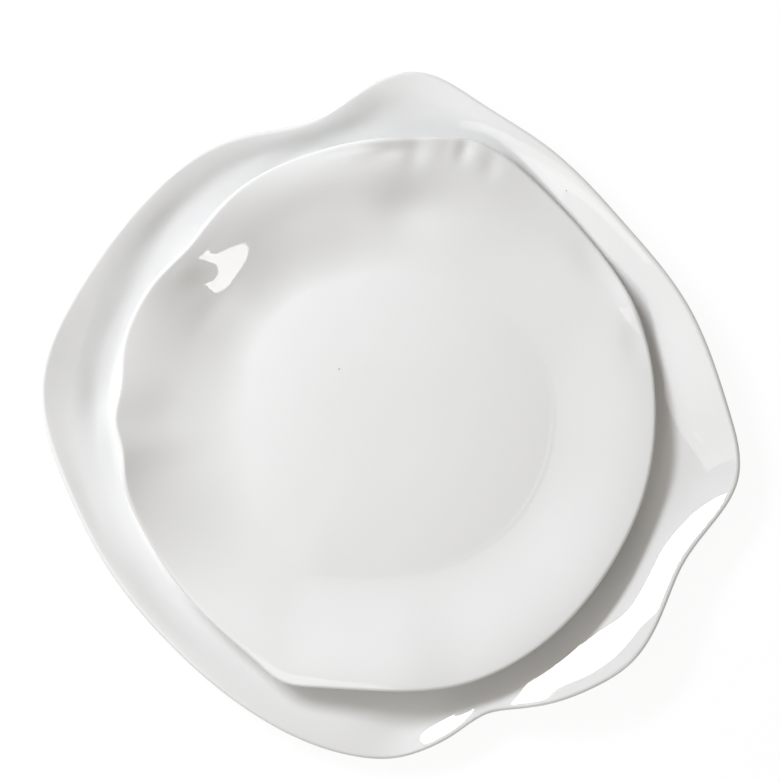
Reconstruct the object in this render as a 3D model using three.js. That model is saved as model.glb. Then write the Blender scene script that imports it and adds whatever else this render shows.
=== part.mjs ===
// Two white porcelain plates, stacked as they are served: a dinner plate whose lip was pulled into
// waves by hand, and a smaller salad plate that stands loose on the dinner plate's floor.
// Millimetres and degrees, +Z up. The origin is on the table, on the axis of the dinner plate's foot ring.
import * as THREE from 'three';

// Dinner plate: the round plate as it was thrown, before its lip was altered
const DINNER_LIP_RADIUS = 132;
const DINNER_LIP_HEIGHT = 15;
const DINNER_LIP_THICKNESS = 2.8;
const DINNER_WALL_WIDTH = 28;
const DINNER_FLOOR_THICKNESS = 4;
const DINNER_FOOT_INSET = 14;
const DINNER_FOOT_WIDTH = 5;
const DINNER_FOOT_HEIGHT = 3;

// Salad plate, as thrown. Its floor is level in the middle and sinks a little towards the wall.
const SALAD_LIP_RADIUS = 110;
const SALAD_LIP_HEIGHT = 17;
const SALAD_LIP_THICKNESS = 2.6;
const SALAD_WALL_WIDTH = 48;
const SALAD_FLOOR_THICKNESS = 3;
const SALAD_FLOOR_CROWN = 1.4;
const SALAD_LEVEL_RADIUS = 20;
const SALAD_FOOT_INSET = 12;
const SALAD_FOOT_WIDTH = 4;
const SALAD_FOOT_HEIGHT = 2;

// How a foot ring narrows towards its base on each side
const FOOT_DRAFT = 0.8;

// The lip of each plate, station by station: the bearing from +X, how far the clay was pulled out (or
// pushed in, below zero), how far it was lifted, the slope at which the lip was left, how far the floor
// spreads past its round edge, and the slope at which the wall leaves the floor.
const DINNER_WAVES = [
  { bearing: 0, pull: 5.3, lift: 1.4, slope: 22, spread: -1, rake: 0 },
  { bearing: 20, pull: -3.8, lift: 0.6, slope: 18, spread: -3, rake: 0 },
  { bearing: 38, pull: -9.6, lift: -0.7, slope: 18, spread: -5, rake: 0 },
  { bearing: 60, pull: -6.2, lift: -1.8, slope: 12, spread: -4, rake: -1 },
  { bearing: 75, pull: 0.3, lift: -3.5, slope: 5, spread: -1, rake: -5 },
  { bearing: 86, pull: 7.1, lift: -4, slope: 1, spread: 0, rake: -7 },
  { bearing: 95, pull: -0.3, lift: -2, slope: 10, spread: 1, rake: -5 },
  { bearing: 104, pull: -8.4, lift: -2.5, slope: 12, spread: 6, rake: -6 },
  { bearing: 120, pull: -3.3, lift: -1, slope: 17, spread: 3, rake: -5 },
  { bearing: 140, pull: 0, lift: 1.2, slope: 21, spread: 2, rake: -4 },
  { bearing: 160, pull: 4.7, lift: 2.6, slope: 24, spread: 2, rake: 0 },
  { bearing: 175, pull: 9.4, lift: 2.6, slope: 28, spread: 2, rake: 0 },
  { bearing: 190, pull: 3.3, lift: 0, slope: 17, spread: 3, rake: -10 },
  { bearing: 207, pull: -1.8, lift: -2.6, slope: 14, spread: 4, rake: -20 },
  { bearing: 227, pull: -3.4, lift: -2.8, slope: 14, spread: 3, rake: -18 },
  { bearing: 247, pull: 1.4, lift: -3.2, slope: 8, spread: 0, rake: -8 },
  { bearing: 265, pull: 7, lift: -4.8, slope: 0, spread: 0, rake: 0 },
  { bearing: 271, pull: 6.8, lift: -4.6, slope: 8, spread: 2, rake: 0 },
  { bearing: 276, pull: 4, lift: -3, slope: 18, spread: 3, rake: 0 },
  { bearing: 281, pull: 0, lift: -2.1, slope: 23, spread: 5, rake: 0 },
  { bearing: 288, pull: -5, lift: -2.2, slope: 24, spread: 6, rake: 0 },
  { bearing: 293, pull: -3, lift: -0.5, slope: 25, spread: 4, rake: 0 },
  { bearing: 299, pull: 1, lift: 2.4, slope: 25, spread: 0, rake: 0 },
  { bearing: 307, pull: 5, lift: 4.4, slope: 22, spread: 0, rake: 0 },
  { bearing: 314, pull: 7.1, lift: 5, slope: 18, spread: 1, rake: 0 },
  { bearing: 325, pull: 3, lift: 3.9, slope: 25, spread: 2, rake: 0 },
  { bearing: 333, pull: 0.6, lift: 2.1, slope: 26, spread: 2, rake: 0 },
  { bearing: 341, pull: 5, lift: 0.8, slope: 26, spread: 0, rake: 0 },
  { bearing: 349, pull: 10.8, lift: -0.2, slope: 25, spread: -1, rake: 0 },
];
const SALAD_WAVES = [
  { bearing: 0, pull: -3.1, lift: -5.8, slope: 0, spread: 4, rake: 4 },
  { bearing: 12, pull: -2.5, lift: -7.6, slope: -2, spread: 4, rake: 4 },
  { bearing: 24, pull: -2.1, lift: -7.2, slope: 12, spread: 2, rake: 2 },
  { bearing: 34, pull: -2.6, lift: -9.8, slope: -2, spread: 0, rake: 0 },
  { bearing: 48, pull: -1.9, lift: -10.4, slope: -2, spread: -2, rake: 0 },
  { bearing: 60, pull: 1.5, lift: -8.6, slope: -2, spread: -4, rake: 1 },
  { bearing: 73, pull: 5.4, lift: -3.4, slope: 0, spread: -4, rake: 2 },
  { bearing: 83, pull: 2.2, lift: 1, slope: 6, spread: -4, rake: -2 },
  { bearing: 91, pull: 1, lift: 4.4, slope: 12, spread: -4, rake: -4 },
  { bearing: 103, pull: -0.2, lift: 2.6, slope: 2, spread: -4, rake: -4 },
  { bearing: 114, pull: -0.5, lift: 2.2, slope: -5, spread: -4, rake: -4 },
  { bearing: 126, pull: -1.6, lift: 5.7, slope: 12, spread: -2, rake: -4 },
  { bearing: 135, pull: -3.8, lift: 6.7, slope: 23, spread: -2, rake: -4 },
  { bearing: 140, pull: -4.4, lift: 6.6, slope: 29, spread: -2, rake: -4 },
  { bearing: 145, pull: -3.2, lift: 6.5, slope: 34, spread: -2, rake: -4 },
  { bearing: 150, pull: -1.4, lift: 6.4, slope: 28, spread: -2, rake: -4 },
  { bearing: 158, pull: 0.4, lift: 4.7, slope: 17, spread: -2, rake: -4 },
  { bearing: 165, pull: 0.8, lift: 2.8, slope: 17, spread: -4, rake: -4 },
  { bearing: 175, pull: -0.6, lift: 3.4, slope: 27, spread: -4, rake: -4 },
  { bearing: 181, pull: 0.9, lift: 5, slope: 33, spread: -4, rake: -4 },
  { bearing: 187, pull: -0.9, lift: 5.8, slope: 38, spread: -4, rake: -4 },
  { bearing: 193, pull: 0, lift: 4.7, slope: 35, spread: -4, rake: -4 },
  { bearing: 204, pull: -0.3, lift: -1.8, slope: 14, spread: -1, rake: -4 },
  { bearing: 218, pull: -0.5, lift: -7, slope: 4, spread: 3, rake: -4 },
  { bearing: 232, pull: 0.4, lift: -6.4, slope: 4, spread: 6, rake: -3 },
  { bearing: 242, pull: 3.2, lift: -5.2, slope: -2, spread: 10, rake: 1 },
  { bearing: 248, pull: 5.8, lift: -4.2, slope: -3, spread: 8, rake: 3 },
  { bearing: 254, pull: 3.8, lift: -3, slope: -3, spread: 6, rake: 4 },
  { bearing: 264, pull: 1, lift: -1.2, slope: -2, spread: 4, rake: 4 },
  { bearing: 275, pull: 1.1, lift: 0, slope: 0, spread: 3, rake: 4 },
  { bearing: 285, pull: 2, lift: -1.4, slope: 2, spread: 3, rake: 4 },
  { bearing: 297, pull: 1.2, lift: -1.4, slope: 0, spread: 3, rake: 4 },
  { bearing: 313, pull: -1, lift: -2.2, slope: 1, spread: 4, rake: 4 },
  { bearing: 326, pull: -2.6, lift: -2.8, slope: 2, spread: 4, rake: 4 },
  { bearing: 342, pull: -2.9, lift: -5.4, slope: 1, spread: 4, rake: 4 },
];

// Shallow pushes into a wall: the bearing and the share of the way up the wall where each is deepest, how
// far it reaches round and up, and its depth
const DINNER_DENTS = [
  { bearing: 95, share: 0.5, breadth: 6, reach: 0.22, depth: 1.4 },
  { bearing: 122, share: 0.54, breadth: 9, reach: 0.2, depth: 0.8 },
  { bearing: 140, share: 0.54, breadth: 10, reach: 0.2, depth: 1.6 },
  { bearing: 163, share: 0.37, breadth: 14, reach: 0.19, depth: 2.3 },
  { bearing: 177, share: 0.37, breadth: 6, reach: 0.18, depth: 2.0 },
  { bearing: 199, share: 0.55, breadth: 11, reach: 0.26, depth: 1.0 },
  { bearing: 220, share: 0.58, breadth: 12, reach: 0.26, depth: 1.1 },
];
const SALAD_DENTS = [
  { bearing: 74, share: 0.5, breadth: 12, reach: 0.19, depth: 1.0 },
  { bearing: 86, share: 0.5, breadth: 9, reach: 0.19, depth: 2.0 },
  { bearing: 92, share: 0.87, breadth: 6, reach: 0.07, depth: 0.5 },
  { bearing: 110, share: 0.62, breadth: 12, reach: 0.16, depth: 0.9 },
  { bearing: 142, share: 0.68, breadth: 5, reach: 0.15, depth: 0.2 },
];

// Facets: columns round the axis, and steps across a crowned floor, up the wall, round the lip and back
const COLUMNS = 144;
const FLOOR_STEPS = 3;
const WALL_STEPS = 9;
const LIP_STEPS = 4;
const UNDERSIDE_STEPS = 5;

const FULL_TURN = 360;

// The unknowns of a set of linear equations. Each row holds an equation's factors, then its right-hand side.
function solveRows(equations) {
  const count = equations.length;
  const rows = equations.map((row) => [...row]);
  for (let lead = 0; lead < count; lead += 1) {
    for (let k = 0; k < count; k += 1) {
      const share = k === lead ? 0 : rows[k][lead] / rows[lead][lead];
      rows[k] = rows[k].map((value, column) => value - share * rows[lead][column]);
    }
  }
  return rows.map((row, k) => row[count] / row[k]);
}

// A smooth closed curve of one quality against bearing: the periodic cubic spline through the stations.
function roundTheLip(waves, quality) {
  const count = waves.length;
  const pick = (list, k) => list[(k + count) % count];
  const bearings = waves.map((wave) => wave.bearing);
  const values = waves.map((wave) => wave[quality]);
  const spans = bearings.map((start, k) => (pick(bearings, k + 1) - start + FULL_TURN) % FULL_TURN);
  const rates = values.map((value, k) => (pick(values, k + 1) - value) / spans[k]);
  // At each station the curve runs on with the same slope, which ties three neighbouring bends together.
  const bends = solveRows(waves.map((wave, k) => {
    const row = new Array(count + 1).fill(0);
    row[(k + count - 1) % count] = pick(spans, k - 1);
    row[k] = 2 * (pick(spans, k - 1) + spans[k]);
    row[(k + 1) % count] = spans[k];
    row[count] = 6 * (rates[k] - pick(rates, k - 1));
    return row;
  }));
  return (bearing) => {
    const k = bearings.findLastIndex((start) => start <= bearing);
    const span = spans[k];
    const gone = bearing - bearings[k];
    const left = span - gone;
    const [bendHere, bendNext] = [bends[k], pick(bends, k + 1)];
    const cubic = (bendHere * left ** 3 + bendNext * gone ** 3) / (6 * span);
    const here = (values[k] / span - (bendHere * span) / 6) * left;
    const next = (pick(values, k + 1) / span - (bendNext * span) / 6) * gone;
    return cubic + here + next;
  };
}

// How far the dents lower the wall at one bearing and share of the way up, each as a bell curve both ways
function dentDrop(dents, bearing, share) {
  return dents.reduce((drop, dent) => {
    const away = THREE.MathUtils.euclideanModulo(bearing - dent.bearing + FULL_TURN / 2, FULL_TURN) - FULL_TURN / 2;
    const across = (away / dent.breadth) ** 2;
    const along = ((share - dent.share) / dent.reach) ** 2;
    return drop + dent.depth * Math.exp(-across - along);
  }, 0);
}

// Half of the plate's cross-section at one bearing, from the middle of the floor out over the lip and
// back underneath to the axis. The wall is a cubic with a slope of its own at the floor and at the lip,
// less the dents. The lip is a half round, and the underside follows the wall at the clay's thickness.
function crossSection(plate, lip) {
  const slopeAtLip = THREE.MathUtils.degToRad(lip.slope);
  const lipRound = plate.lipThickness / 2;
  const floorTop = plate.footHeight + plate.floorThickness;
  const wallEnd = lip.radius - lipRound * (1 + Math.sin(slopeAtLip));
  const run = wallEnd - lip.floorRadius;
  const rise = lip.height - floorTop;
  const climb = Math.tan(slopeAtLip) * run;
  const start = Math.tan(THREE.MathUtils.degToRad(lip.rake)) * run;

  const onWall = (share) => {
    const swell = rise * share ** 2 * (3 - 2 * share);
    const bend = climb * share ** 2 * (share - 1) + start * share * (1 - share) ** 2;
    const drop = dentDrop(plate.dents, lip.bearing, share);
    return new THREE.Vector2(lip.floorRadius + run * share, floorTop + swell + bend - drop);
  };
  const wallSlope = (share) => {
    const swell = 6 * rise * share * (1 - share);
    const bend = climb * share * (3 * share - 2) + start * (1 - share) * (1 - 3 * share);
    return Math.atan((swell + bend) / run);
  };
  const underWall = (share) => {
    const thickness = THREE.MathUtils.lerp(plate.floorThickness, plate.lipThickness, share);
    const slope = wallSlope(share);
    return onWall(share).add(new THREE.Vector2(Math.sin(slope), -Math.cos(slope)).multiplyScalar(thickness));
  };

  const section = [new THREE.Vector2(0, floorTop + plate.floorCrown)];
  if (plate.floorCrown > 0) {
    for (let step = 0; step < FLOOR_STEPS; step += 1) {
      const share = step / FLOOR_STEPS;
      const radius = THREE.MathUtils.lerp(plate.levelRadius, lip.floorRadius, share);
      section.push(new THREE.Vector2(radius, floorTop + plate.floorCrown * (1 - share ** 2)));
    }
  }
  for (let step = 0; step <= WALL_STEPS; step += 1) {
    section.push(onWall(step / WALL_STEPS));
  }
  const lipCentre = new THREE.Vector2(Math.sin(slopeAtLip), -Math.cos(slopeAtLip))
    .multiplyScalar(lipRound)
    .add(onWall(1));
  for (let step = 1; step < LIP_STEPS; step += 1) {
    const turn = slopeAtLip + Math.PI / 2 - (Math.PI * step) / LIP_STEPS;
    section.push(new THREE.Vector2(Math.cos(turn), Math.sin(turn)).multiplyScalar(lipRound).add(lipCentre));
  }
  for (let step = UNDERSIDE_STEPS; step >= 0; step -= 1) {
    section.push(underWall(step / UNDERSIDE_STEPS));
  }
  const footOuter = plate.floorRadius - plate.footInset;
  const footInner = footOuter - plate.footWidth;
  section.push(
    new THREE.Vector2(footOuter, plate.footHeight),
    new THREE.Vector2(footOuter - FOOT_DRAFT, 0),
    new THREE.Vector2(footInner + FOOT_DRAFT, 0),
    new THREE.Vector2(footInner, plate.footHeight),
    new THREE.Vector2(0, plate.footHeight),
  );
  return section.reverse();
}

// A plate is a lathe form whose cross-section changes as it goes round.
function plateGeometry(plate) {
  const curve = (quality) => roundTheLip(plate.waves, quality);
  const [pull, lift, slope, spread, rake] = ['pull', 'lift', 'slope', 'spread', 'rake'].map(curve);
  const sectionAt = (bearing) => crossSection(plate, {
    bearing,
    radius: plate.lipRadius + pull(bearing),
    height: plate.lipHeight + lift(bearing),
    slope: slope(bearing),
    floorRadius: plate.floorRadius + spread(bearing),
    rake: rake(bearing),
  });
  const geometry = new THREE.LatheGeometry(sectionAt(0), COLUMNS);
  const place = geometry.getAttribute('position');
  for (let column = 0; column <= COLUMNS; column += 1) {
    const bearing = ((column % COLUMNS) * FULL_TURN) / COLUMNS;
    const angle = THREE.MathUtils.degToRad(bearing);
    const section = sectionAt(bearing);
    section.forEach((point, row) => {
      place.setXYZ(
        column * section.length + row,
        point.x * Math.cos(angle),
        point.x * Math.sin(angle),
        point.y,
      );
    });
  }
  geometry.computeVertexNormals();
  return geometry;
}

// Glazed white porcelain
const porcelain = (shade) => new THREE.MeshStandardMaterial({ color: shade, roughness: 0.12, metalness: 0 });

function plateMesh(name, plate, shade) {
  const mesh = new THREE.Mesh(plateGeometry(plate), porcelain(shade));
  mesh.name = name;
  return mesh;
}

const dinnerPlate = plateMesh('dinner_plate', {
  lipRadius: DINNER_LIP_RADIUS,
  lipHeight: DINNER_LIP_HEIGHT,
  lipThickness: DINNER_LIP_THICKNESS,
  floorRadius: DINNER_LIP_RADIUS - DINNER_WALL_WIDTH,
  floorThickness: DINNER_FLOOR_THICKNESS,
  floorCrown: 0,
  footInset: DINNER_FOOT_INSET,
  footWidth: DINNER_FOOT_WIDTH,
  footHeight: DINNER_FOOT_HEIGHT,
  waves: DINNER_WAVES,
  dents: DINNER_DENTS,
}, 0xf0efed);

const saladPlate = plateMesh('salad_plate', {
  lipRadius: SALAD_LIP_RADIUS,
  lipHeight: SALAD_LIP_HEIGHT,
  lipThickness: SALAD_LIP_THICKNESS,
  floorRadius: SALAD_LIP_RADIUS - SALAD_WALL_WIDTH,
  floorThickness: SALAD_FLOOR_THICKNESS,
  floorCrown: SALAD_FLOOR_CROWN,
  levelRadius: SALAD_LEVEL_RADIUS,
  footInset: SALAD_FOOT_INSET,
  footWidth: SALAD_FOOT_WIDTH,
  footHeight: SALAD_FOOT_HEIGHT,
  waves: SALAD_WAVES,
  dents: SALAD_DENTS,
}, 0xf0efed);

// The salad plate's foot ring stands on the dinner plate's floor.
saladPlate.position.z = DINNER_FOOT_HEIGHT + DINNER_FLOOR_THICKNESS;

const stackedPlates = new THREE.Group();
stackedPlates.add(dinnerPlate, saladPlate);

export default stackedPlates;
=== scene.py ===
"""Looks of two stacked porcelain plates with hand-pulled, wavy lips.

A dinner plate lies on the table and a smaller salad plate of the same white ware stands loose on its floor.
Each plate is one closed surface on a grid of two parameters, the bearing round its axis and the way along its
cross-section. The plates' sizes are in millimetres and degrees until a mesh is made, which is in metres. The
studio round them is in metres and degrees.
"""

import logging
import math
from dataclasses import dataclass, field
from enum import Enum

import bpy
import numpy as np
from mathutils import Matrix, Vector


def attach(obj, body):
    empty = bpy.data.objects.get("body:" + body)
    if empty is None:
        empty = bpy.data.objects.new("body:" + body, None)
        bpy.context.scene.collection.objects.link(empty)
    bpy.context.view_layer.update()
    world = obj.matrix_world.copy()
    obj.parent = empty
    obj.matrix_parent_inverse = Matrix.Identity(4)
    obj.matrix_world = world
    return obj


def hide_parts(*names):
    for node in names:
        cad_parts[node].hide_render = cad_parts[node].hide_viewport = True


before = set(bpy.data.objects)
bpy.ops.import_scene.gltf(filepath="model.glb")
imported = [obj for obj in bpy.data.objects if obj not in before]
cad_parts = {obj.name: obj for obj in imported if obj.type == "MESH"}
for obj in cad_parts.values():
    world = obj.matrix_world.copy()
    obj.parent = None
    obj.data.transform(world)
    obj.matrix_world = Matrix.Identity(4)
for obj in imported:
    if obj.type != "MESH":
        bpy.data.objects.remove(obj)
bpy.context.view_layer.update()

LOG = logging.getLogger("stacked_plates")
MM = 0.001
FULL_TURN = 360.0

# Points of the grid: round the axis, then along each stretch of the cross-section
BEARINGS = 640
FLOOR_POINTS = 22
WALL_POINTS = 60
LIP_POINTS = 12
UNDERSIDE_POINTS = 26
CORNER_POINTS = 4

# Reach in millimetres of the glaze's thinning at the lip, its pooling at the foot's roots and its wiping
THINNING_REACH = 1.6
POOLING_REACH = 2.2
WIPING_REACH = 0.05

# What smears and thin glaze add to the roughness, the peel's share of the ripple, and a speck's solid share
SMEAR_DULLNESS = 0.03
THIN_DULLNESS = 0.05
PEEL_SHARE = 0.05
SPECK_CORE = 0.5


class Node(Enum):
    """The solids that the surfaces stand for."""

    DINNER = "dinner_plate"
    SALAD = "salad_plate"


class Quality(Enum):
    """What the hand gave a lip at each of its stations, by the station's field."""

    PULL = "pull"
    LIFT = "lift"
    SLOPE = "slope"
    SPREAD = "spread"
    RAKE = "rake"


class Glaze(Enum):
    """States of the glaze, by the mesh attribute that marks each."""

    THIN = "thin_glaze"
    POOLED = "pooled_glaze"
    BARE = "bare_clay"


class Texture(Enum):
    """Noises in the glaze and the clay: each one's wavelength in millimetres and octaves of finer noise."""

    CLOUD = (34, 3)
    SMEAR = (12, 4)
    RIPPLE = (15, 0)
    PEEL = (2.4, 1)
    GRAIN = (0.5, 3)


class Socket(Enum):
    """Kinds of a node group's sockets."""

    VECTOR = "NodeSocketVector"
    NUMBER = "NodeSocketFloat"
    COLOUR = "NodeSocketColor"


GLAZE_INPUTS = {
    "Place": Socket.VECTOR,
    "Thin": Socket.NUMBER,
    "Pooled": Socket.NUMBER,
    "Bare": Socket.NUMBER,
    "Glaze Colour": Socket.COLOUR,
    "Thin Colour": Socket.COLOUR,
    "Pooled Colour": Socket.COLOUR,
    "Clay Colour": Socket.COLOUR,
    "Mottle": Socket.NUMBER,
    "Gloss": Socket.NUMBER,
    "Clay Roughness": Socket.NUMBER,
}
GLAZE_OUTPUTS = {"Colour": Socket.COLOUR, "Roughness": Socket.NUMBER, "Height": Socket.NUMBER}


def bell(away: np.ndarray, spread: float) -> np.ndarray:
    """A bell curve: e to the power of minus the square of the distance over the spread.

    Args:
        away: Distances from the curve's middle.
        spread: Distance at which the curve has fallen to about a third.

    Returns:
        The curve's value at each distance, 1 in the middle.
    """
    return np.exp(-((away / spread) ** 2))


def turn_from(middle: float, bearings: np.ndarray) -> np.ndarray:
    """The short way round from one bearing to others.

    Args:
        middle: The bearing to start from, in degrees.
        bearings: The bearings to go to.

    Returns:
        Turns in degrees, within half a turn either way.
    """
    return (bearings - middle + FULL_TURN / 2) % FULL_TURN - FULL_TURN / 2


@dataclass(frozen=True)
class LipStation:
    """One place on a lip, in millimetres and degrees.

    Attributes:
        bearing: Its bearing from +X, counter-clockwise seen from above.
        pull: How far the hand pulled the lip out of its round.
        lift: How far the hand lifted it.
        slope: Slope at which the wall meets it.
        spread: How far the floor runs on past its round edge at that bearing.
        rake: Slope at which the wall leaves the floor.
    """

    bearing: float
    pull: float
    lift: float
    slope: float
    spread: float
    rake: float


@dataclass(frozen=True)
class Dent:
    """A shallow push into a wall, or out of it where its depth is below zero.

    Attributes:
        bearing: Bearing of its middle, in degrees.
        share: Its middle's share of the way up the wall, 0 at the floor's edge and 1 at the lip.
        bearing_spread: Its spread either way round, in degrees.
        share_spread: Its spread up and down the wall, as a share of the way up.
        depth: Its depth in millimetres.
    """

    bearing: float
    share: float
    bearing_spread: float
    share_spread: float
    depth: float

    def drop(self, bearings: np.ndarray, shares: np.ndarray) -> np.ndarray:
        """How far the dent lowers the wall: its depth times a bell curve in bearing and one in share.

        Args:
            bearings: Bearings in degrees, one per row of the grid.
            shares: Shares of the way up the wall, below 0 on the floor.

        Returns:
            The drop in millimetres at each point of the grid.
        """
        across = bell(turn_from(self.bearing, bearings), self.bearing_spread)
        return self.depth * across[:, None] * bell(shares - self.share, self.share_spread)


@dataclass(frozen=True)
class ThrowingRing:
    """The faint ridge that a finger left round a floor's edge, strongest at one bearing.

    Attributes:
        bearing: Bearing where it is strongest, in degrees.
        bearing_spread: Its spread either way round, in degrees.
        height: Its height in millimetres.
        width: Its spread either side of the floor's edge, in millimetres.
    """

    bearing: float
    bearing_spread: float
    height: float
    width: float

    def rise(self, bearings: np.ndarray, distance: np.ndarray) -> np.ndarray:
        """How far the ring stands out: its height times a bell curve in bearing and one in distance.

        Args:
            bearings: Bearings in degrees, one per row of the grid.
            distance: Distance of each point of the grid from the floor's edge, in millimetres.

        Returns:
            The rise in millimetres at each point of the grid.
        """
        across = bell(turn_from(self.bearing, bearings), self.bearing_spread)
        return self.height * across[:, None] * bell(distance, self.width)


class ClosedSpline:
    """A smooth closed curve of a value against bearing: the periodic cubic spline through given stations."""

    def __init__(self, bearings: np.ndarray, values: np.ndarray) -> None:
        """Solves for the curvature at each station, so that slope and curvature run on smoothly across it.

        Args:
            bearings: Rising bearings in degrees, the first at 0.
            values: The value at each bearing.
        """
        self.bearings = bearings
        self.values = np.append(values, values[0])
        self.spans = np.diff(np.append(bearings, bearings[0] + FULL_TURN))
        rates = np.diff(self.values) / self.spans
        count = len(bearings)
        rows = np.arange(count)
        matrix = np.zeros((count, count))
        matrix[rows, rows] = 2 * (self.spans + np.roll(self.spans, 1))
        matrix[rows, (rows + 1) % count] += self.spans
        matrix[rows, (rows - 1) % count] += np.roll(self.spans, 1)
        bends = np.linalg.solve(matrix, 6 * (rates - np.roll(rates, 1)))
        self.bends = np.append(bends, bends[0])

    def __call__(self, bearings: np.ndarray) -> np.ndarray:
        """The curve's value at each bearing.

        Args:
            bearings: Bearings in degrees, from 0 up to a full turn.

        Returns:
            The values, in the same order.
        """
        start = np.searchsorted(self.bearings, bearings, side="right") - 1
        span = self.spans[start]
        gone = bearings - self.bearings[start]
        left = span - gone
        bend_here, bend_next = self.bends[start], self.bends[start + 1]
        cubic = (bend_here * left**3 + bend_next * gone**3) / (6 * span)
        here = (self.values[start] / span - bend_here * span / 6) * left
        return cubic + here + (self.values[start + 1] / span - bend_next * span / 6) * gone


@dataclass(frozen=True)
class Wall:
    """A wall's inner face before its dents: at each bearing, a cubic from the floor's edge up to the lip.

    All but the bearings are columns, with a row for each bearing.

    Attributes:
        bearings: Bearings in degrees.
        slope: Slope at which the wall meets the lip, in radians.
        well: Radius of the floor's edge, in millimetres.
        run: How far the wall runs out from there to the lip.
        rise: How far it rises.
        start: Its gradient at the floor's edge times its run.
        end: Its gradient at the lip times its run.
    """

    bearings: np.ndarray
    slope: np.ndarray
    well: np.ndarray
    run: np.ndarray
    rise: np.ndarray
    start: np.ndarray
    end: np.ndarray

    def height(self, share: np.ndarray) -> np.ndarray:
        """Height above the floor's edge: the cubic with the wall's rise and its gradients at both ends.

        Args:
            share: Shares of the way up.

        Returns:
            The height in millimetres at each bearing and share.
        """
        risen = self.rise * share**2 * (3 - 2 * share) + self.end * share**2 * (share - 1)
        return risen + self.start * share * (1 - share) ** 2

    def gradient(self, share: np.ndarray) -> np.ndarray:
        """Gradient of the wall: the cubic's own, over the wall's run.

        Args:
            share: Shares of the way up.

        Returns:
            The gradient at each bearing and share.
        """
        change = 6 * self.rise * share * (1 - share) + self.end * share * (3 * share - 2)
        return (change + self.start * (1 - share) * (1 - 3 * share)) / self.run


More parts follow.
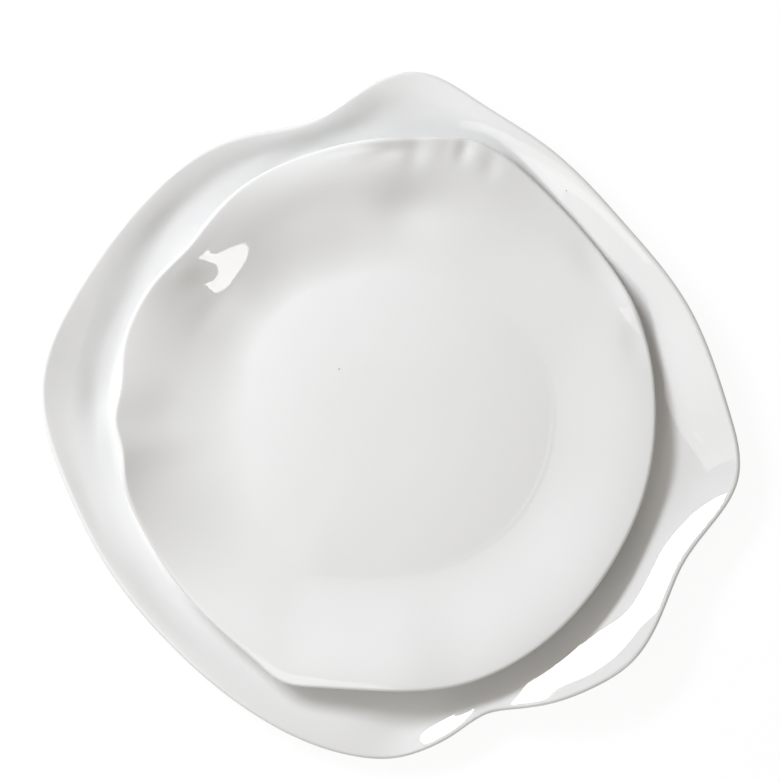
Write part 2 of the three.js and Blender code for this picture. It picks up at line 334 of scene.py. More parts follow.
@dataclass
class Plate:
    """A thrown plate whose lip was altered by hand: its round sizes, lip stations, dents and rings."""

    node: Node
    slot: str
    lip_radius: float
    lip_height: float
    lip_thickness: float
    wall_width: float
    floor_thickness: float
    floor_crown: float
    flat_radius: float
    foot_inset: float
    foot_width: float
    foot_height: float
    foot_draft: float
    foot_round: float
    base_height: float
    stations: list[LipStation]
    dents: list[Dent] = field(default_factory=list)
    rings: list[ThrowingRing] = field(default_factory=list)

    @property
    def well_radius(self) -> float:
        """Radius of the floor, where the wall starts.

        Returns:
            The radius in millimetres.
        """
        return self.lip_radius - self.wall_width

    @property
    def floor_top(self) -> float:
        """Height of the floor's edge above the foot.

        Returns:
            The height in millimetres.
        """
        return self.foot_height + self.floor_thickness

    @property
    def foot_radius(self) -> float:
        """Radius of the foot ring's outer root.

        Returns:
            The radius in millimetres.
        """
        return self.well_radius - self.foot_inset

    @property
    def lip_round(self) -> float:
        """Radius of the half round along the lip.

        Returns:
            The radius in millimetres.
        """
        return self.lip_thickness / 2

    def lip_values(self, quality: Quality, bearings: np.ndarray) -> np.ndarray:
        """One of the stations' qualities all round, by the closed curve through the stations.

        Args:
            quality: The quality.
            bearings: Bearings in degrees.

        Returns:
            A column with the value at each bearing.
        """
        places = np.array([station.bearing for station in self.stations], float)
        values = np.array([getattr(station, quality.value) for station in self.stations], float)
        return ClosedSpline(places, values)(bearings)[:, None]

    def wall(self, bearings: np.ndarray) -> Wall:
        """The wall from the floor's edge to where the lip's round starts.

        Args:
            bearings: Bearings in degrees.

        Returns:
            The wall's inner face before its dents.
        """
        slope = np.radians(self.lip_values(Quality.SLOPE, bearings))
        reach = self.lip_radius + self.lip_values(Quality.PULL, bearings)
        well = self.well_radius + self.lip_values(Quality.SPREAD, bearings)
        run = reach - self.lip_round * (1 + np.sin(slope)) - well
        return Wall(
            bearings=bearings,
            slope=slope,
            well=well,
            run=run,
            rise=self.lip_height + self.lip_values(Quality.LIFT, bearings) - self.floor_top,
            start=np.tan(np.radians(self.lip_values(Quality.RAKE, bearings))) * run,
            end=np.tan(slope) * run,
        )

    def section(self, bearings: np.ndarray) -> tuple[np.ndarray, np.ndarray]:
        """The cross-section at each bearing, from the floor's middle over the lip to the foot's middle.

        Args:
            bearings: Bearings in degrees.

        Returns:
            Radius and height in millimetres, with a row for each bearing.
        """
        wall = self.wall(bearings)
        inner = self.inner_face(wall)
        edge = inner[0][:, -1:], inner[1][:, -1:]
        foot = tuple(np.tile(column, (len(bearings), 1)) for column in self.foot_profile().T)
        stretches = (self.floor(wall), inner, self.lip(wall, edge), self.underside(wall), foot)
        return np.hstack([radius for radius, _ in stretches]), np.hstack([height for _, height in stretches])

    def floor(self, wall: Wall) -> tuple[np.ndarray, np.ndarray]:
        """The floor's upper face: its round height, less the dents that reach it, plus the rings.

        Args:
            wall: The wall round it.

        Returns:
            Radius and height in millimetres, with a row for each bearing.
        """
        share = np.sin(np.linspace(0, np.pi / 2, FLOOR_POINTS + 1))[None, 1:-1]
        height = self.floor_height(share) - self.drop(wall, wall.well * (share - 1) / wall.run)
        return self.ringed(wall, wall.well * share, height)

    def inner_face(self, wall: Wall) -> tuple[np.ndarray, np.ndarray]:
        """The wall's inner face, with its dents and the rings.

        Args:
            wall: The wall.

        Returns:
            Radius and height in millimetres, with a row for each bearing.
        """
        return self.ringed(wall, *self.dented(wall, np.linspace(0, 1, WALL_POINTS)))

    def lip(self, wall: Wall, edge: tuple[np.ndarray, np.ndarray]) -> tuple[np.ndarray, np.ndarray]:
        """The lip: a half round that carries the inner face on and turns it over.

        Args:
            wall: The wall under it.
            edge: Radius and height of the inner face's upper edge, as columns.

        Returns:
            Radius and height in millimetres, with a row for each bearing.
        """
        turn = wall.slope + np.pi / 2 - np.linspace(0, np.pi, LIP_POINTS)[None, 1:-1]
        middle_radius = edge[0] + self.lip_round * np.sin(wall.slope)
        middle_height = edge[1] - self.lip_round * np.cos(wall.slope)
        return middle_radius + self.lip_round * np.cos(turn), middle_height + self.lip_round * np.sin(turn)

    def underside(self, wall: Wall) -> tuple[np.ndarray, np.ndarray]:
        """The wall's outer face: the inner face moved square to the wall by the thickness of the clay.

        Args:
            wall: The wall.

        Returns:
            Radius and height in millimetres, from the lip down, with a row for each bearing.
        """
        share = np.linspace(1, 0, UNDERSIDE_POINTS)
        radius, height = self.dented(wall, share)
        tilt = np.arctan(wall.gradient(share))
        thickness = self.lip_thickness * share + self.floor_thickness * (1 - share)
        return radius + thickness * np.sin(tilt), height - thickness * np.cos(tilt)

    def drop(self, wall: Wall, share: np.ndarray) -> np.ndarray:
        """How far the dents together lower the upper face.

        Args:
            wall: The wall that they are in.
            share: Shares of the way up, below 0 on the floor.

        Returns:
            The drop in millimetres at each bearing and share.
        """
        level = np.zeros_like(wall.run * share)
        return sum((dent.drop(wall.bearings, share) for dent in self.dents), level)

    def dented(self, wall: Wall, share: np.ndarray) -> tuple[np.ndarray, np.ndarray]:
        """Points of the wall's inner face, with its dents.

        Args:
            wall: The wall.
            share: Shares of the way up.

        Returns:
            Radius and height in millimetres, with a row for each bearing.
        """
        return wall.well + wall.run * share, self.floor_top + wall.height(share) - self.drop(wall, share)

    def ringed(self, wall: Wall, radius: np.ndarray, height: np.ndarray) -> tuple[np.ndarray, np.ndarray]:
        """Points of the upper face, raised by the throwing rings.

        Args:
            wall: The wall round the rings.
            radius: The points' radius in millimetres.
            height: Their height.

        Returns:
            Radius and height with the rings.
        """
        return radius, height + sum(ring.rise(wall.bearings, radius - wall.well) for ring in self.rings)

    def floor_height(self, share: np.ndarray) -> np.ndarray:
        """Height of the floor, which is level in the middle and then falls as a square to its edge.

        Args:
            share: Shares of the way out to the edge.

        Returns:
            The height in millimetres at each share.
        """
        flat = self.flat_radius / self.well_radius
        outside = np.clip((share - flat) / (1 - flat), 0, None)
        return self.floor_top + self.floor_crown * (1 - outside**2)

    def foot_profile(self) -> np.ndarray:
        """The foot ring's section from its outer root over its base to its inner root, with rounded corners.

        Returns:
            Rows of radius and height, in millimetres.
        """
        outer = self.foot_radius
        inner = outer - self.foot_width
        corners = np.array([
            [outer + self.foot_height, self.foot_height],
            [outer, self.foot_height],
            [outer - self.foot_draft, 0],
            [inner + self.foot_draft, 0],
            [inner, self.foot_height],
            [inner - self.foot_height, self.foot_height],
        ])
        return round_corners(corners, self.foot_round)

    def glaze_masks(self, radius: np.ndarray, height: np.ndarray) -> dict[str, np.ndarray]:
        """Where the glaze is thin, pooled or wiped off.

        It thins as a bell curve of the way along the section from the lip's crest, pools as a bell curve of
        the distance from the foot ring's two roots, and is wiped off where the foot touches the ground.

        Args:
            radius: Radius of each point of the grid, in millimetres.
            height: Height of each point above the foot.

        Returns:
            A mask from 0 to 1 for each of the three, by the name of its attribute.
        """
        steps = np.hypot(np.diff(radius, axis=1), np.diff(height, axis=1))
        way = np.pad(np.cumsum(steps, axis=1), ((0, 0), (1, 0)))
        crest = FLOOR_POINTS - 1 + WALL_POINTS + LIP_POINTS // 2 - 1
        outer = self.foot_radius
        root = np.minimum(np.abs(radius - outer), np.abs(radius - outer + self.foot_width))
        return {
            Glaze.THIN.value: bell(way - way[:, crest : crest + 1], THINNING_REACH),
            Glaze.POOLED.value: bell(np.hypot(root, height - self.foot_height), POOLING_REACH),
            Glaze.BARE.value: np.isclose(height, 0, atol=WIPING_REACH).astype(float),
        }

    def build(self) -> bpy.types.Object:
        """Makes the plate's mesh from its grid, closed at both poles, and hangs it on its body.

        Returns:
            The plate's object.
        """
        bearings = np.linspace(0, FULL_TURN, BEARINGS, endpoint=False)
        radius, height = self.section(bearings)
        angle = np.radians(bearings)[:, None]
        level = height + self.base_height
        grid = np.stack([radius * np.cos(angle), radius * np.sin(angle), level], axis=-1)
        floor_middle = self.base_height + self.floor_top + self.floor_crown
        foot_middle = self.base_height + self.foot_height
        piece = closed_mesh(f"{self.node.value}_glazed", grid * MM, floor_middle * MM, foot_middle * MM)
        for name, mask in self.glaze_masks(radius, height).items():
            attribute = piece.data.attributes.new(name, "FLOAT", "POINT")
            attribute.data.foreach_set("value", np.append(mask.ravel(), [0, 0]).astype(np.float32))
        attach(piece, self.node.value)
        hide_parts(self.node.value)
        return piece


def round_corners(corners: np.ndarray, reach: float) -> np.ndarray:
    """Rounds a line's inner corners, each by a parabola that leaves its legs at a given reach.

    Args:
        corners: Rows of radius and height.
        reach: Distance from a corner to where its round starts.

    Returns:
        The rounded line's rows.
    """
    before, corner, after = corners[:-2], corners[1:-1], corners[2:]
    towards = (before - corner) / np.linalg.norm(before - corner, axis=1, keepdims=True)
    onwards = (after - corner) / np.linalg.norm(after - corner, axis=1, keepdims=True)
    share = np.linspace(0, 1, CORNER_POINTS)[None, :, None]
    start = (corner + reach * towards)[:, None, :]
    end = (corner + reach * onwards)[:, None, :]
    rounds = (1 - share) ** 2 * start + 2 * share * (1 - share) * corner[:, None, :] + share**2 * end
    return np.vstack([corners[:1], rounds.reshape(-1, 2), corners[-1:]])


def closed_mesh(name: str, grid: np.ndarray, top: float, bottom: float) -> bpy.types.Object:
    """A mesh from a grid that goes round the Z axis, with a pole on the axis at each end of its rows.

    Args:
        name: The piece's name.
        grid: Points in metres, as bearing by place along the section by XYZ.
        top: Height of the pole that the rows start from.
        bottom: Height of the pole that they end at.

    Returns:
        The object, linked to the scene and shaded smooth.
    """
    around, along = grid.shape[:2]
    top_pole, bottom_pole = around * along, around * along + 1
    points = np.vstack([grid.reshape(-1, 3), [[0, 0, top], [0, 0, bottom]]])
    index = np.arange(around * along).reshape(around, along)
    onward = np.roll(index, -1, axis=0)
    quads = np.stack([index[:, :-1], index[:, 1:], onward[:, 1:], onward[:, :-1]], axis=-1).reshape(-1, 4)
    top_fan = np.stack([np.full(around, top_pole), index[:, 0], onward[:, 0]], axis=-1)
    bottom_fan = np.stack([np.full(around, bottom_pole), onward[:, -1], index[:, -1]], axis=-1)
    mesh = bpy.data.meshes.new(name)
    mesh.from_pydata(points.tolist(), [], quads.tolist() + top_fan.tolist() + bottom_fan.tolist())
    mesh.polygons.foreach_set("use_smooth", np.ones(len(mesh.polygons), bool))
    mesh.update()
    piece = bpy.data.objects.new(name, mesh)
    bpy.context.scene.collection.objects.link(piece)
    return piece


@dataclass
class NodeSheet:
    """A node tree that nodes are added to, each with its inputs set or joined."""

    tree: bpy.types.NodeTree

    def add(self, kind: str, inputs: dict[str | int, object], **settings: object) -> bpy.types.Node:
        """Adds a node.

        Args:
            kind: The node's type.
            inputs: For each input, by name or by place, a plain value or another node's output to join.
            **settings: The node's own settings.

        Returns:
            The node.
        """
        node = self.tree.nodes.new(kind)
        for name, value in settings.items():
            setattr(node, name, value)
        self.fill(node, inputs)
        return node

    def fill(self, node: bpy.types.Node, inputs: dict[str | int, object]) -> None:
        """Sets or joins a node's inputs.

        Args:
            node: The node.
            inputs: As for a new node.
        """
        for name, value in inputs.items():
            if isinstance(value, bpy.types.NodeSocket):
                self.tree.links.new(value, node.inputs[name])
            else:
                node.inputs[name].default_value = value

    def maths(
        self, operation: str, first: object, second: object, third: object = 0.0
    ) -> bpy.types.NodeSocket:
        """Adds a node of arithmetic.

        Args:
            operation: The kind of arithmetic.
            first: Its first value or output to join.
            second: Its second.
            third: Its third, where it has one.

        Returns:
            The result's socket.
        """
        node = self.add("ShaderNodeMath", {0: first, 1: second, 2: third}, operation=operation)
        return node.outputs[0]

    def noise(self, place: bpy.types.NodeSocket, texture: Texture) -> bpy.types.NodeSocket:
        """Adds a noise.

        Args:
            place: The vector that it varies with, in metres.
            texture: Its wavelength and octaves.

        Returns:
            The noise's socket, about 0.5 on average.
        """
        wavelength, detail = texture.value
        inputs = {"Vector": place, "Scale": 1 / (wavelength * MM), "Detail": detail}
        return self.add("ShaderNodeTexNoise", inputs).outputs["Fac"]

    def blend(self, share: object, first: object, second: object) -> bpy.types.NodeSocket:
        """Adds a mix of two colours, whose sockets share their names with others and so go by their places.

        Args:
            share: Share of the second colour.
            first: The first colour or output to join.
            second: The second.

        Returns:
            The mixed colour's socket.
        """
        node = self.add("ShaderNodeMix", {}, data_type="RGBA")
        self.fill(node, {0: share, 6: first, 7: second})
        return node.outputs[2]

    def mean(self, share: object, first: object, second: object) -> bpy.types.NodeSocket:
        """Adds a mix of two numbers, whose sockets go by their places too.

        Args:
            share: Share of the second number.
            first: The first number or output to join.
            second: The second.

        Returns:
            The mixed number's socket.
        """
        return self.add("ShaderNodeMix", {0: share, 2: first, 3: second}).outputs[0]

    def mix(self, share: object, first: bpy.types.Node, second: bpy.types.Node) -> bpy.types.NodeSocket:
        """Adds a mix of two shaders.

        Args:
            share: Share of the second shader.
            first: The first shader's node.
            second: The second's.

        Returns:
            The mixed shader's socket.
        """
        inputs = {0: share, 1: first.outputs[0], 2: second.outputs[0]}
        return self.add("ShaderNodeMixShader", inputs).outputs[0]


def glaze_group() -> bpy.types.NodeTree:
    """The node group of a clear glaze on white clay, which the two plates share.

    Colour: the glaze's own, turned to the pooled, thin and clay colours by their masks, times a mottle of 1
    plus or minus a given share. Roughness: the gloss, a little duller in smears and where the glaze is thin,
    up to the clay's. Height: a slow ripple and a fine peel in the glaze, and the clay's grain where it is
    bare.

    Returns:
        The group.
    """
    group = bpy.data.node_groups.new("glaze_on_clay", "ShaderNodeTree")
    for name, kind in GLAZE_INPUTS.items():
        group.interface.new_socket(name, in_out="INPUT", socket_type=kind.value)
    for name, kind in GLAZE_OUTPUTS.items():
        group.interface.new_socket(name, in_out="OUTPUT", socket_type=kind.value)
    sheet = NodeSheet(group)
    given = sheet.add("NodeGroupInput", {}).outputs
    noise = {texture: sheet.noise(given["Place"], texture) for texture in Texture}

    pooled = sheet.blend(given["Pooled"], given["Glaze Colour"], given["Pooled Colour"])
    thinned = sheet.blend(given["Thin"], pooled, given["Thin Colour"])
    swing = sheet.maths("MULTIPLY_ADD", noise[Texture.CLOUD], 2, -1)
    shade = sheet.maths("MULTIPLY_ADD", swing, given["Mottle"], 1)
    mottled = sheet.add("ShaderNodeVectorMath", {0: thinned, "Scale": shade}, operation="SCALE").outputs[0]
    colour = sheet.blend(given["Bare"], mottled, given["Clay Colour"])

    smeared = sheet.maths("MULTIPLY_ADD", noise[Texture.SMEAR], SMEAR_DULLNESS, given["Gloss"])
    dulled = sheet.maths("MULTIPLY_ADD", given["Thin"], THIN_DULLNESS, smeared)
    roughness = sheet.mean(given["Bare"], dulled, given["Clay Roughness"])

    waves = sheet.maths("MULTIPLY_ADD", noise[Texture.PEEL], PEEL_SHARE, noise[Texture.RIPPLE])
    height = sheet.mean(given["Bare"], waves, noise[Texture.GRAIN])
    sheet.add("NodeGroupOutput", {"Colour": colour, "Roughness": roughness, "Height": height})
    return group


@dataclass(frozen=True)
class Speck:
    """A speck of iron in the clay that shows through the glaze: its place and radius in millimetres."""

    place: tuple[float, float, float]
    radius: float


@dataclass(frozen=True)
class Porcelain:
    """White porcelain under a clear gloss glaze, with an iron speck."""

    name: str
    glaze_colour: tuple[float, float, float]
    thin_colour: tuple[float, float, float]
    pooled_colour: tuple[float, float, float]
    clay_colour: tuple[float, float, float]
    speck_colour: tuple[float, float, float]
    mottle: float
    gloss: float
    clay_roughness: float
    ripple_depth: float
    ior: float
    speck: Speck

    def material(self, group: bpy.types.NodeTree) -> bpy.types.Material:
        """The porcelain as a material.

        Args:
            group: The node group of a glaze on clay.

        Returns:
            The material.
        """
        material = bpy.data.materials.new(self.name)
        material.use_nodes = True
        sheet = NodeSheet(material.node_tree)
        shader = material.node_tree.nodes["Principled BSDF"]
        place = sheet.add("ShaderNodeTexCoord", {}).outputs["Object"]
        masks = {}
        for state in Glaze:
            masks[state] = sheet.add("ShaderNodeAttribute", {}, attribute_name=state.value).outputs["Fac"]
        glaze = sheet.add("ShaderNodeGroup", {}, node_tree=group)
        sheet.fill(glaze, {
            "Place": place,
            "Thin": masks[Glaze.THIN],
            "Pooled": masks[Glaze.POOLED],
            "Bare": masks[Glaze.BARE],
            "Glaze Colour": (*self.glaze_colour, 1),
            "Thin Colour": (*self.thin_colour, 1),
            "Pooled Colour": (*self.pooled_colour, 1),
            "Clay Colour": (*self.clay_colour, 1),
            "Mottle": self.mottle,
            "Gloss": self.gloss,
            "Clay Roughness": self.clay_roughness,
        })
        bump = {"Height": glaze.outputs["Height"], "Distance": self.ripple_depth * MM}
        speck_share = self.speck_share(sheet, place)
        sheet.fill(shader, {
            "Base Color": sheet.blend(speck_share, glaze.outputs["Colour"], (*self.speck_colour, 1)),
            "Roughness": glaze.outputs["Roughness"],
            "Normal": sheet.add("ShaderNodeBump", bump).outputs["Normal"],
            "IOR": self.ior,
        })
        return material

    def speck_share(self, sheet: NodeSheet, place: bpy.types.NodeSocket) -> bpy.types.NodeSocket:
        """Adds the nodes that mark the speck: 1 in its core, falling to 0 at its radius.

        Args:
            sheet: The material's nodes.
            place: The socket of a point's place, in metres.

        Returns:
            The mark's socket.
        """
        middle = tuple(value * MM for value in self.speck.place)
        radius = self.speck.radius * MM
        away = sheet.add("ShaderNodeVectorMath", {0: place, 1: middle}, operation="DISTANCE").outputs["Value"]
        fall = {"Value": away, "From Min": radius, "From Max": SPECK_CORE * radius}
        return sheet.add("ShaderNodeMapRange", fall).outputs["Result"]


@dataclass(frozen=True)
class Softbox:
    """A rectangular lamp that looks at the plates, in degrees and metres.

    Attributes:
        name: Its name.
        bearing: Its bearing from +X, counter-clockwise seen from above.
        elevation: Its elevation above the table.
        distance: Its distance from the point that it faces.
        width: Its width.
        height: Its height.
        radiance: How bright it looks, in watts per square metre and steradian.
        colour: Its tint.
        mirrored: Whether the glaze mirrors it.
    """

    name: str
    bearing: float
    elevation: float
    distance: float
    width: float
    height: float
    radiance: float
    colour: tuple[float, float, float] = (1.0, 1.0, 1.0)
    mirrored: bool = True

    def build(self, target: Vector) -> bpy.types.Object:
        """Makes the lamp. Its power is its radiance times pi times its area.

        Args:
            target: The point that the lamp faces, in metres.

        Returns:
            The lamp's object.
        """
        light = bpy.data.lights.new(self.name, "AREA")
        light.shape = "RECTANGLE"
        light.size, light.size_y = self.width, self.height
        light.energy = self.radiance * math.pi * self.width * self.height
        light.color = self.colour
        lamp = bpy.data.objects.new(self.name, light)
        bearing, elevation = math.radians(self.bearing), math.radians(self.elevation)
        away = Vector((
            math.cos(bearing) * math.cos(elevation),
            math.sin(bearing) * math.cos(elevation),
            math.sin(elevation),
        ))
        lamp.location = target + away * self.distance
        lamp.rotation_euler = (-away).to_track_quat("-Z", "Y").to_euler()
        lamp.visible_glossy = self.mirrored
        bpy.context.scene.collection.objects.link(lamp)
        return lamp


@dataclass(frozen=True)
class Studio:
    """A plain pale floor, an even dome of light and soft lamps, in metres.

    Attributes:
        floor_size: Length of the floor's sides.
        floor_colour: The paper's own colour.
        glow_radiance: How bright the floor looks where it glows.
        glow_share: Share of the glow in what the camera and the glaze see of the floor.
        dome_radiance: How bright the dome looks from the plates.
        dome_colour: Its tint.
        backdrop_colour: The plain colour that the camera sees past the floor.
        aim_height: Height of the point that the lamps face.
        lamps: The lamps.
    """

    floor_size: float
    floor_colour: tuple[float, float, float]
    glow_radiance: float
    glow_share: float
    dome_radiance: float
    dome_colour: tuple[float, float, float]
    backdrop_colour: tuple[float, float, float]
    aim_height: float
    lamps: list[Softbox]

    def build(self) -> None:
        """Makes the floor, the dome and the lamps."""
        self.build_floor()
        self.build_dome()
        for lamp in self.lamps:
            lamp.build(Vector((0, 0, self.aim_height)))

    def build_floor(self) -> bpy.types.Object:
        """Makes the floor, which looks white to the camera and still takes the plates' shadow.

        Returns:
            The floor's object.
        """
        half = self.floor_size / 2
        corners = [(-half, -half, 0), (half, -half, 0), (half, half, 0), (-half, half, 0)]
        mesh = bpy.data.meshes.new("floor")
        mesh.from_pydata(corners, [], [(0, 1, 2, 3)])
        mesh.materials.append(self.floor_material())
        floor = bpy.data.objects.new("floor", mesh)
        bpy.context.scene.collection.objects.link(floor)
        return floor

    def floor_material(self) -> bpy.types.Material:
        """The floor's paper, mixed with a glow where the camera looks at it or sees it mirrored or through.

        Returns:
            The material.
        """
        material = bpy.data.materials.new("floor_white")
        material.use_nodes = True
        material.node_tree.nodes.clear()
        sheet = NodeSheet(material.node_tree)
        ray = sheet.add("ShaderNodeLightPath", {}).outputs
        paper = sheet.add("ShaderNodeBsdfDiffuse", {"Color": (*self.floor_colour, 1)})
        glow = sheet.add("ShaderNodeEmission", {"Strength": self.glow_radiance})
        seen = sheet.maths("MAXIMUM", ray["Is Camera Ray"], ray["Is Glossy Ray"])
        seen = sheet.maths("MAXIMUM", seen, ray["Is Transmission Ray"])
        share = sheet.maths("MULTIPLY", seen, self.glow_share)
        sheet.add("ShaderNodeOutputMaterial", {"Surface": sheet.mix(share, paper, glow)})
        return material

    def build_dome(self) -> None:
        """Sets the world to an even light from all round, which the camera sees as a plain backdrop."""
        world = bpy.data.worlds.new("studio_dome")
        bpy.context.scene.world = world
        world.use_nodes = True
        world.node_tree.nodes.clear()
        sheet = NodeSheet(world.node_tree)
        light = {"Color": (*self.dome_colour, 1), "Strength": self.dome_radiance}
        dome = sheet.add("ShaderNodeBackground", light)
        backdrop = sheet.add("ShaderNodeBackground", {"Color": (*self.backdrop_colour, 1)})
        ray = sheet.add("ShaderNodeLightPath", {}).outputs
        surface = sheet.mix(ray["Is Camera Ray"], dome, backdrop)
        sheet.add("ShaderNodeOutputWorld", {"Surface": surface})


@dataclass(frozen=True)
class PhotoCamera:
    """The photograph's camera: straight above the plates, with image up along +Y.

    Attributes:
        frame_width: The photograph's width in pixels.
        frame_height: Its height in pixels.
        centre_column: Pixel column of the plates' axis.
        centre_row: Its pixel row, counted down from the top.
        millimetres_per_pixel: What a pixel spans at the subject's height.
        subject_height: Height of the lips above the table, in millimetres.
        distance: The camera's height above the lips, in millimetres.
        sensor: Width of its sensor, in millimetres.
    """

    frame_width: int
    frame_height: int
    centre_column: float
    centre_row: float
    millimetres_per_pixel: float
    subject_height: float
    distance: float
    sensor: float = 36.0

    def build(self) -> bpy.types.Object:
        """Makes the camera: the plates' axis falls on its pixel, and a pixel spans its size at the lips.

        Returns:
            The camera's object.
        """
        data = bpy.data.cameras.new("photo_camera")
        long_side = max(self.frame_width, self.frame_height)
        data.sensor_width = self.sensor
        data.lens = self.sensor * self.distance / (long_side * self.millimetres_per_pixel)
        camera = bpy.data.objects.new("photo_camera", data)
        right = (self.frame_width / 2 - self.centre_column) * self.millimetres_per_pixel
        up = (self.centre_row - self.frame_height / 2) * self.millimetres_per_pixel
        camera.location = Vector((right, up, self.subject_height + self.distance)) * MM
        bpy.context.scene.collection.objects.link(camera)
        bpy.context.scene.camera = camera
        return camera


# The lips' stations, as in the solids: bearing, pull, lift, slope, spread and rake
DINNER_STATIONS = [
    LipStation(0, 5.3, 1.4, 22, -1, 0),
    LipStation(20, -3.8, 0.6, 18, -3, 0),
    LipStation(38, -9.6, -0.7, 18, -5, 0),
    LipStation(60, -6.2, -1.8, 12, -4, -1),
    LipStation(75, 0.3, -3.5, 5, -1, -5),
    LipStation(86, 7.1, -4, 1, 0, -7),
    LipStation(95, -0.3, -2, 10, 1, -5),
    LipStation(104, -8.4, -2.5, 12, 6, -6),
    LipStation(120, -3.3, -1, 17, 3, -5),
    LipStation(140, 0, 1.2, 21, 2, -4),
    LipStation(160, 4.7, 2.6, 24, 2, 0),
    LipStation(175, 9.4, 2.6, 28, 2, 0),
    LipStation(190, 3.3, 0, 17, 3, -10),
    LipStation(207, -1.8, -2.6, 14, 4, -20),
    LipStation(227, -3.4, -2.8, 14, 3, -18),
    LipStation(247, 1.4, -3.2, 8, 0, -8),
    LipStation(265, 7, -4.8, 0, 0, 0),
    LipStation(271, 6.8, -4.6, 8, 2, 0),
    LipStation(276, 4, -3, 18, 3, 0),
    LipStation(281, 0, -2.1, 23, 5, 0),
    LipStation(288, -5, -2.2, 24, 6, 0),
    LipStation(293, -3, -0.5, 25, 4, 0),
    LipStation(299, 1, 2.4, 25, 0, 0),
    LipStation(307, 5, 4.4, 22, 0, 0),
    LipStation(314, 7.1, 5, 18, 1, 0),
    LipStation(325, 3, 3.9, 25, 2, 0),
    LipStation(333, 0.6, 2.1, 26, 2, 0),
    LipStation(341, 5, 0.8, 26, 0, 0),
    LipStation(349, 10.8, -0.2, 25, -1, 0),
]
SALAD_STATIONS = [
    LipStation(0, -3.1, -5.8, 0, 4, 4),
    LipStation(12, -2.5, -7.6, -2, 4, 4),
    LipStation(24, -2.1, -7.2, 12, 2, 2),
    LipStation(34, -2.6, -9.8, -2, 0, 0),
    LipStation(48, -1.9, -10.4, -2, -2, 0),
    LipStation(60, 1.5, -8.6, -2, -4, 1),
    LipStation(73, 5.4, -3.4, 0, -4, 2),
    LipStation(83, 2.2, 1, 6, -4, -2),
    LipStation(91, 1, 4.4, 12, -4, -4),
    LipStation(103, -0.2, 2.6, 2, -4, -4),
    LipStation(114, -0.5, 2.2, -5, -4, -4),
    LipStation(126, -1.6, 5.7, 12, -2, -4),
    LipStation(135, -3.8, 6.7, 23, -2, -4),
    LipStation(140, -4.4, 6.6, 29, -2, -4),
    LipStation(145, -3.2, 6.5, 34, -2, -4),
    LipStation(150, -1.4, 6.4, 28, -2, -4),
    LipStation(158, 0.4, 4.7, 17, -2, -4),
    LipStation(165, 0.8, 2.8, 17, -4, -4),
    LipStation(175, -0.6, 3.4, 27, -4, -4),
    LipStation(181, 0.9, 5, 33, -4, -4),
    LipStation(187, -0.9, 5.8, 38, -4, -4),
    LipStation(193, 0, 4.7, 35, -4, -4),
    LipStation(204, -0.3, -1.8, 14, -1, -4),
    LipStation(218, -0.5, -7, 4, 3, -4),
    LipStation(232, 0.4, -6.4, 4, 6, -3),
    LipStation(242, 3.2, -5.2, -2, 10, 1),
    LipStation(248, 5.8, -4.2, -3, 8, 3),
    LipStation(254, 3.8, -3, -3, 6, 4),
    LipStation(264, 1, -1.2, -2, 4, 4),
    LipStation(275, 1.1, 0, 0, 3, 4),
    LipStation(285, 2, -1.4, 2, 3, 4),
    LipStation(297, 1.2, -1.4, 0, 3, 4),
    LipStation(313, -1, -2.2, 1, 4, 4),
    LipStation(326, -2.6, -2.8, 2, 4, 4),
    LipStation(342, -2.9, -5.4, 1, 4, 4),
]

# The walls' larger dents, as in the solids: bearing, share, bearing spread, share spread and depth
DINNER_DENTS = [
    Dent(95, 0.5, 6, 0.22, 1.4),
    Dent(122, 0.54, 9, 0.2, 0.8),
    Dent(140, 0.54, 10, 0.2, 1.6),
    Dent(163, 0.37, 14, 0.19, 2.3),
    Dent(177, 0.37, 6, 0.18, 2.0),
    Dent(199, 0.55, 11, 0.26, 1.0),
    Dent(220, 0.58, 12, 0.26, 1.1),
]
SALAD_DENTS = [
    Dent(74, 0.5, 12, 0.19, 1.0),
    Dent(86, 0.5, 9, 0.19, 2.0),
    Dent(92, 0.87, 6, 0.07, 0.5),
    Dent(110, 0.62, 12, 0.16, 0.9),
    Dent(142, 0.68, 5, 0.15, 0.2),
]

# Marks that the solids leave out: pleats and folds in the walls, a throwing ring and two specks of iron
SALAD_PLEATS = [
    Dent(17, 0.93, 5, 0.13, 1),
    Dent(25, 1, 4, 0.07, -0.95),
    Dent(37, 0.92, 7, 0.13, 1),
    Dent(48, 1, 12, 0.3, 0.8),
    Dent(68, 0.915, 2, 0.1, 0.7),
    Dent(74.4, 0.945, 1.7, 0.09, 1.3),
    Dent(78, 0.95, 1.5, 0.08, 0.3),
    Dent(84.5, 0.92, 2.4, 0.12, 1.1),
    Dent(90, 0.93, 4, 0.05, 1.15),
    Dent(97, 0.975, 7, 0.03, 0.5),
    Dent(101, 0.5, 7, 0.17, 0.5),
    Dent(135, 0.86, 7, 0.07, 0.1),
    Dent(145, 0.9, 4, 0.12, -0.7),
    Dent(150, 0.5, 10, 0.1, 0.35),
    Dent(152, 1.1, 5, 0.32, -1),
    Dent(177, 0.62, 8, 0.2, 0.6),
]
DINNER_FOLDS = [
    Dent(140, 0.3, 8, 0.2, 0.5),
    Dent(161.5, 0.38, 12, 0.18, -0.9),
    Dent(176, 0.21, 15, 0.105, 1.3),
    Dent(179, 0.46, 21, 0.4, 1.3),
    Dent(196, 0.82, 10, 0.19, 1.3),
    Dent(274.5, 0.68, 7, 0.23, 1.2),
    Dent(293, 0.92, 5, 0.4, 0.85),
    Dent(311, 0.53, 7, 0.33, 0.4),
    Dent(314, 0.92, 6.5, 0.2, -0.25),
    Dent(316, 1.1, 13.5, 0.13, -0.3),
    Dent(327, 0.39, 11, 0.21, -0.95),
    Dent(345, 0.68, 12.5, 0.23, 0.4),
]
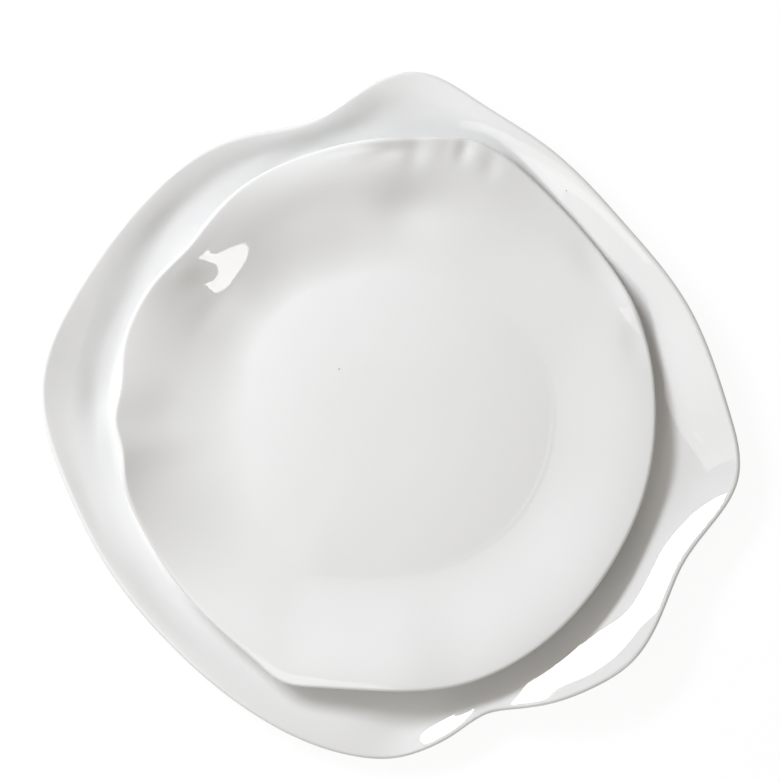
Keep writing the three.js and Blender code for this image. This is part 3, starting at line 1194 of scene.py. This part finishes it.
SALAD_RING = ThrowingRing(bearing=335, bearing_spread=55, height=0.16, width=0.7)
DINNER_SPECK = Speck(place=(71.2, 90.5, 11.5), radius=0.45)
SALAD_SPECK = Speck(place=(-20.5, 18.5, 13.4), radius=0.45)


def dinner_plate() -> Plate:
    """The dinner plate, which lies on the table.

    Returns:
        The plate.
    """
    return Plate(
        node=Node.DINNER,
        slot="dinner_porcelain",
        lip_radius=132,
        lip_height=15,
        lip_thickness=2.8,
        wall_width=28,
        floor_thickness=4,
        floor_crown=0,
        flat_radius=20,
        foot_inset=14,
        foot_width=5,
        foot_height=3,
        foot_draft=0.8,
        foot_round=0.6,
        base_height=0,
        stations=DINNER_STATIONS,
        dents=DINNER_DENTS + DINNER_FOLDS,
    )


def salad_plate(seat_height: float) -> Plate:
    """The salad plate, which stands on the dinner plate's floor.

    Args:
        seat_height: Height of that floor above the table, in millimetres.

    Returns:
        The plate.
    """
    return Plate(
        node=Node.SALAD,
        slot="salad_porcelain",
        lip_radius=110,
        lip_height=17,
        lip_thickness=2.6,
        wall_width=48,
        floor_thickness=3,
        floor_crown=1.4,
        flat_radius=20,
        foot_inset=12,
        foot_width=4,
        foot_height=2,
        foot_draft=0.8,
        foot_round=0.6,
        base_height=seat_height,
        stations=SALAD_STATIONS,
        dents=SALAD_DENTS + SALAD_PLEATS,
        rings=[SALAD_RING],
    )


def porcelain(name: str, speck: Speck) -> Porcelain:
    """The white ware of both plates.

    Args:
        name: The finish's name.
        speck: The plate's iron speck.

    Returns:
        The finish.
    """
    return Porcelain(
        name=name,
        glaze_colour=(0.87, 0.868, 0.862),
        thin_colour=(0.875, 0.868, 0.85),
        pooled_colour=(0.835, 0.845, 0.84),
        clay_colour=(0.8, 0.77, 0.72),
        speck_colour=(0.48, 0.44, 0.4),
        mottle=0.02,
        gloss=0.015,
        clay_roughness=0.75,
        ripple_depth=0.05,
        ior=1.5,
        speck=speck,
    )


def white_studio() -> Studio:
    """The studio: a white floor, a warm dome, a cool key lamp and the paler windows that the glaze mirrors.

    Returns:
        The studio.
    """
    return Studio(
        floor_size=8.0,
        floor_colour=(0.9, 0.9, 0.9),
        glow_radiance=1.03,
        glow_share=0.9,
        dome_radiance=0.26,
        dome_colour=(1, 0.947, 0.845),
        backdrop_colour=(1, 1, 1),
        aim_height=0.015,
        lamps=[
            Softbox(
                "key_core", bearing=137, elevation=42, distance=1.2,
                width=0.57, height=0.15, radiance=38.7, colour=(0.91, 0.94, 1.0),
            ),
            Softbox(
                "left_window", bearing=222, elevation=62, distance=0.6,
                width=0.28, height=0.25, radiance=1.8,
            ),
            Softbox(
                "edge_window", bearing=223.5, elevation=58.5, distance=1.2,
                width=0.155, height=0.14, radiance=1.3,
            ),
            Softbox(
                "side_fill", bearing=165, elevation=45, distance=0.45,
                width=0.3, height=0.3, radiance=1.15, mirrored=False,
            ),
            Softbox(
                "far_window", bearing=305, elevation=33.5, distance=1.4,
                width=0.42, height=0.14, radiance=8.6,
            ),
        ],
    )


def photo_camera() -> PhotoCamera:
    """The camera that took the photograph.

    Returns:
        The camera.
    """
    return PhotoCamera(
        frame_width=780,
        frame_height=781,
        centre_column=390,
        centre_row=415,
        millimetres_per_pixel=0.402,
        subject_height=18,
        distance=1500,
    )


def main() -> None:
    """Builds the plates, their finish, the studio and the camera."""
    logging.basicConfig(level=logging.INFO, format="%(name)s: %(message)s")
    dinner = dinner_plate()
    salad = salad_plate(dinner.floor_top)
    group = glaze_group()
    for plate, speck in ((dinner, DINNER_SPECK), (salad, SALAD_SPECK)):
        piece = plate.build()
        piece.data.materials.append(porcelain(plate.slot, speck).material(group))
        LOG.info("%s: %d faces", piece.name, len(piece.data.polygons))
    white_studio().build()
    photo_camera().build()
    bpy.context.scene.view_settings.view_transform = "Standard"


if __name__ == "__main__":
    main()
